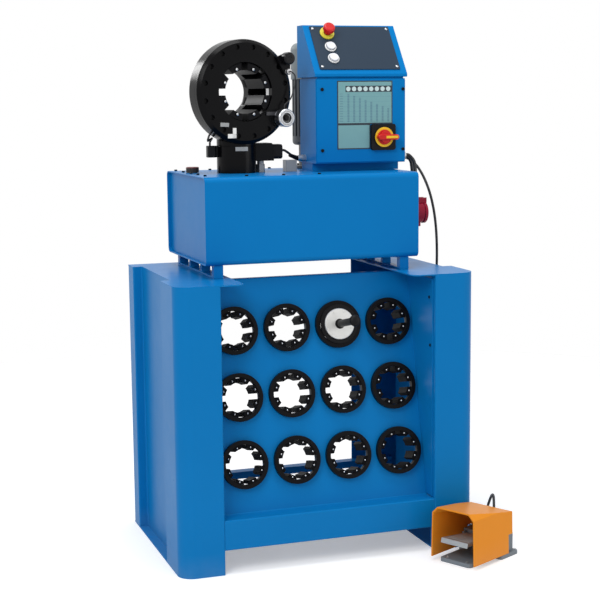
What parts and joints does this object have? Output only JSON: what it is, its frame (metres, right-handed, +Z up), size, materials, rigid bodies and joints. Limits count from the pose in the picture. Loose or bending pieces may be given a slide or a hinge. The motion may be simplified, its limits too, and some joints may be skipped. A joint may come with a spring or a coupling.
{
  "type": "hose crimping machine",
  "caption": "Hydraulic hose crimper: round eight-die head, tank and control box on a folded cabinet with a die rack, and a guarded foot pedal on a cable.",
  "frame": {"origin": "on the floor under the cabinet's centre, the centre of its four floor bolt holes", "axes": "+Z up; -Y towards the operator, so +X is to the operator's right; the crimping head is turned 9 degrees from -Y towards +X"},
  "size_m": [0.8626, 0.7102, 1.3579],
  "materials": {
    "cabinet_blue": "smooth gloss powder coat",
    "tank_blue": "smooth gloss paint",
    "panel_blue": "smooth gloss paint",
    "desk_slate": "fine matt texture",
    "head_black": "high gloss",
    "bolt_black": "blackened",
    "die_steel": "blackened ground steel",
    "bright_steel": "turned",
    "aluminium": "satin",
    "black_plastic": "matt",
    "gloss_black_plastic": "gloss",
    "red_plastic": "gloss",
    "inlet_red": "satin gloss",
    "yellow_plastic": "gloss",
    "white_plastic": "gloss",
    "grey_plastic": "satin",
    "motor_black": "semi gloss",
    "cowl_grey": "satin",
    "guard_orange": "smooth gloss powder coat",
    "pedal_grey": "satin",
    "lever_grey": "ribbed",
    "cable_black": "matt"
  },
  "bodies": {
    "machine": {"side_panel_left": "cabinet_blue", "side_panel_right": "cabinet_blue", "rear_crossbar": "cabinet_blue", "rack_panel": "cabinet_blue", "die_rings": "head_black", "die_sets_upper": "die_steel", "die_sets_middle": "die_steel", "die_sets_lower": "die_steel", "tank_shell": "tank_blue", "tank_ends": "tank_blue", "tank_feet": "tank_blue", "mains_inlet": "inlet_red", "head_foot": "head_black", "head_housing": "head_black", "head_cover": "head_black", "cover_bolts": "bolt_black", "micrometer_sleeve": "bright_steel", "stop_bracket": "bright_steel", "valve_block": "head_black", "valve_coil": "black_plastic", "valve_fittings": "aluminium", "terminal_box": "black_plastic", "head_leads": "cable_black", "inlet_leads": "cable_black", "control_box": "panel_blue", "control_hood": "panel_blue", "box_front_panel": "panel_blue", "desk_plate": "desk_slate", "lead_glands": "bright_steel", "estop_collar": "yellow_plastic", "button_bezels": "grey_plastic", "switch_base": "black_plastic", "motor_bell": "motor_black", "motor_frame": "motor_black", "motor_cowl": "cowl_grey", "pedal_base": "pedal_grey", "pedal_guard": "guard_orange", "pedal_pin": "bright_steel", "pedal_gland": "black_plastic", "pedal_cable": "cable_black"},
    "closing_piston": {"closing_piston": "bright_steel"},
    "master_die_1": {"master_die_1": "die_steel"},
    "master_die_2": {"master_die_2": "die_steel"},
    "master_die_3": {"master_die_3": "die_steel"},
    "master_die_4": {"master_die_4": "die_steel"},
    "master_die_5": {"master_die_5": "die_steel"},
    "master_die_6": {"master_die_6": "die_steel"},
    "master_die_7": {"master_die_7": "die_steel"},
    "master_die_8": {"master_die_8": "die_steel"},
    "change_tool": {"tool_disc": "aluminium", "tool_handle": "black_plastic"},
    "filler_cap": {"filler_cap": "black_plastic"},
    "inlet_lid": {"mains_inlet_lid": "inlet_red"},
    "micrometer_dial": {"micrometer_dial": "black_plastic"},
    "stop_knob": {"stop_knob": "gloss_black_plastic"},
    "estop_button": {"estop_button": "red_plastic"},
    "push_button_1": {"push_button_1": "white_plastic"},
    "push_button_2": {"push_button_2": "white_plastic"},
    "switch_handle": {"switch_handle": "red_plastic"},
    "pedal_lever": {"pedal_lever": "lever_grey"}
  },
  "joints": [
    {"name": "piston_slide", "type": "slide", "parent": "machine", "child": "closing_piston", "axis": [-0.1564, 0.9877, 0], "range_m": [0, 0.031], "stiffness_N_per_m": 600, "springref_m": -0.01},
    {"name": "die_1_slide", "type": "slide", "parent": "machine", "child": "master_die_1", "axis": [-0.5917, 0.7831, -0.1913], "range_m": [0, 0.0358]},
    {"name": "die_2_slide", "type": "slide", "parent": "machine", "child": "master_die_2", "axis": [-0.3245, 0.8254, -0.4619], "range_m": [0, 0.0358]},
    {"name": "die_3_slide", "type": "slide", "parent": "machine", "child": "master_die_3", "axis": [0.0535, 0.8853, -0.4619], "range_m": [0, 0.0358]},
    {"name": "die_4_slide", "type": "slide", "parent": "machine", "child": "master_die_4", "axis": [0.3208, 0.9276, -0.1913], "range_m": [0, 0.0358]},
    {"name": "die_5_slide", "type": "slide", "parent": "machine", "child": "master_die_5", "axis": [0.3208, 0.9276, 0.1913], "range_m": [0, 0.0358]},
    {"name": "die_6_slide", "type": "slide", "parent": "machine", "child": "master_die_6", "axis": [0.0535, 0.8853, 0.4619], "range_m": [0, 0.0358]},
    {"name": "die_7_slide", "type": "slide", "parent": "machine", "child": "master_die_7", "axis": [-0.3245, 0.8254, 0.4619], "range_m": [0, 0.0358]},
    {"name": "die_8_slide", "type": "slide", "parent": "machine", "child": "master_die_8", "axis": [-0.5917, 0.7831, 0.1913], "range_m": [0, 0.0358]},
    {"name": "tool_pull", "type": "slide", "parent": "machine", "child": "change_tool", "axis": [0, -0.9763, 0.2164], "range_m": [0, 0.06]},
    {"name": "filler_cap_turn", "type": "hinge", "parent": "machine", "child": "filler_cap", "pos_m": [-0.25, 0.104, 0.98], "axis": [0, 0, 1], "range_deg": [0, 90]},
    {"name": "inlet_lid_hinge", "type": "hinge", "parent": "machine", "child": "inlet_lid", "pos_m": [0.339, -0.05, 0.893], "axis": [0, -1, 0], "range_deg": [0, 115], "stiffness_Nm_per_rad": 0.1, "springref_deg": -17.19},
    {"name": "micrometer_turn", "type": "hinge", "parent": "machine", "child": "micrometer_dial", "pos_m": [-0.03299, -0.00316, 1.1125], "axis": [0.1564, -0.9877, 0], "range_deg": [-180, 180]},
    {"name": "stop_knob_turn", "type": "hinge", "parent": "machine", "child": "stop_knob", "pos_m": [-0.02233, -0.00653, 1.2635], "axis": [0.1564, -0.9877, 0], "range_deg": [-150, 150]},
    {"name": "estop_press", "type": "slide", "parent": "machine", "child": "estop_button", "axis": [0, 0.797, -0.604], "range_m": [0, 0.005], "stiffness_N_per_m": 250, "springref_m": -0.003},
    {"name": "button_1_press", "type": "slide", "parent": "machine", "child": "push_button_1", "axis": [0, 0.797, -0.604], "range_m": [0, 0.004], "stiffness_N_per_m": 200, "springref_m": -0.003},
    {"name": "button_2_press", "type": "slide", "parent": "machine", "child": "push_button_2", "axis": [0, 0.797, -0.604], "range_m": [0, 0.004], "stiffness_N_per_m": 200, "springref_m": -0.003},
    {"name": "main_switch_turn", "type": "hinge", "parent": "machine", "child": "switch_handle", "pos_m": [0.234, -0.045, 1.0595], "axis": [0, -1, 0], "range_deg": [0, 90]},
    {"name": "pedal_press", "type": "hinge", "parent": "machine", "child": "pedal_lever", "pos_m": [0.37059, -0.33662, 0.046], "axis": [0.4695, -0.8829, 0], "range_deg": [0, 9], "stiffness_Nm_per_rad": 3, "springref_deg": -14.32}
  ],
  "couplings": [
    {"joint": "die_1_slide", "follows": "piston_slide", "ratio": 1.1547},
    {"joint": "die_2_slide", "follows": "piston_slide", "ratio": 1.1547},
    {"joint": "die_3_slide", "follows": "piston_slide", "ratio": 1.1547},
    {"joint": "die_4_slide", "follows": "piston_slide", "ratio": 1.1547},
    {"joint": "die_5_slide", "follows": "piston_slide", "ratio": 1.1547},
    {"joint": "die_6_slide", "follows": "piston_slide", "ratio": 1.1547},
    {"joint": "die_7_slide", "follows": "piston_slide", "ratio": 1.1547},
    {"joint": "die_8_slide", "follows": "piston_slide", "ratio": 1.1547}
  ]
}
